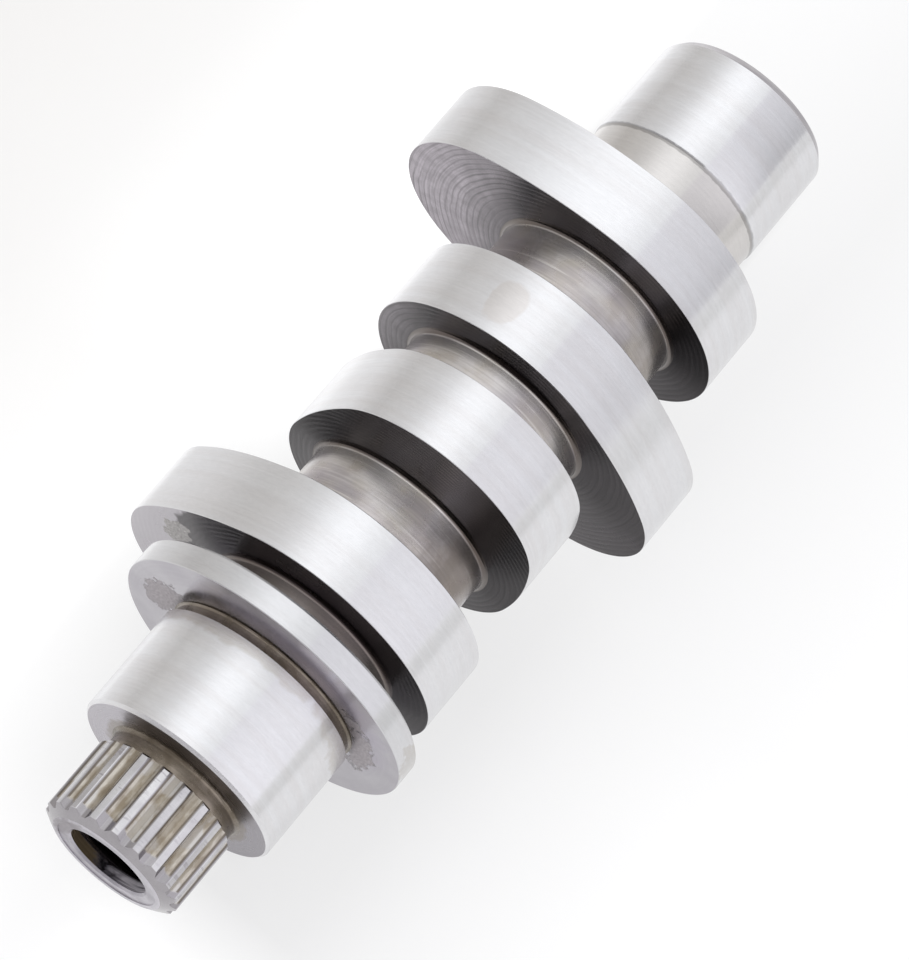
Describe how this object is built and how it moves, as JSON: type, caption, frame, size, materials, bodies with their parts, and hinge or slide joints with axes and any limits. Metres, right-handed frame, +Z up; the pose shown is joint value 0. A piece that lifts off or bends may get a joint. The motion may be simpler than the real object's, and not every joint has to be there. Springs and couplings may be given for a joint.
{
  "type": "camshaft",
  "caption": "One-piece engine camshaft with cam lobes on turned necks, a thrust flange, a plain journal at each end and a splined nose with a threaded bolt hole.",
  "frame": {"origin": "centre of the splined end's face, on the shaft axis", "axes": "+X along the shaft axis from the splined end to the plain end, +Z up as the shaft lies, on the side of the second lobe's nose, +Y completes the right hand"},
  "size_m": [0.131, 0.0549, 0.051],
  "materials": {
    "cam_steel": "hardened alloy steel: journals, flange and lobe rims ground to a satin shine, lobe sides left dark from heat treatment with turning rings, spline gaps stained brown"
  },
  "bodies": {
    "root": {"camshaft": "cam_steel"}
  },
  "joints": []
}
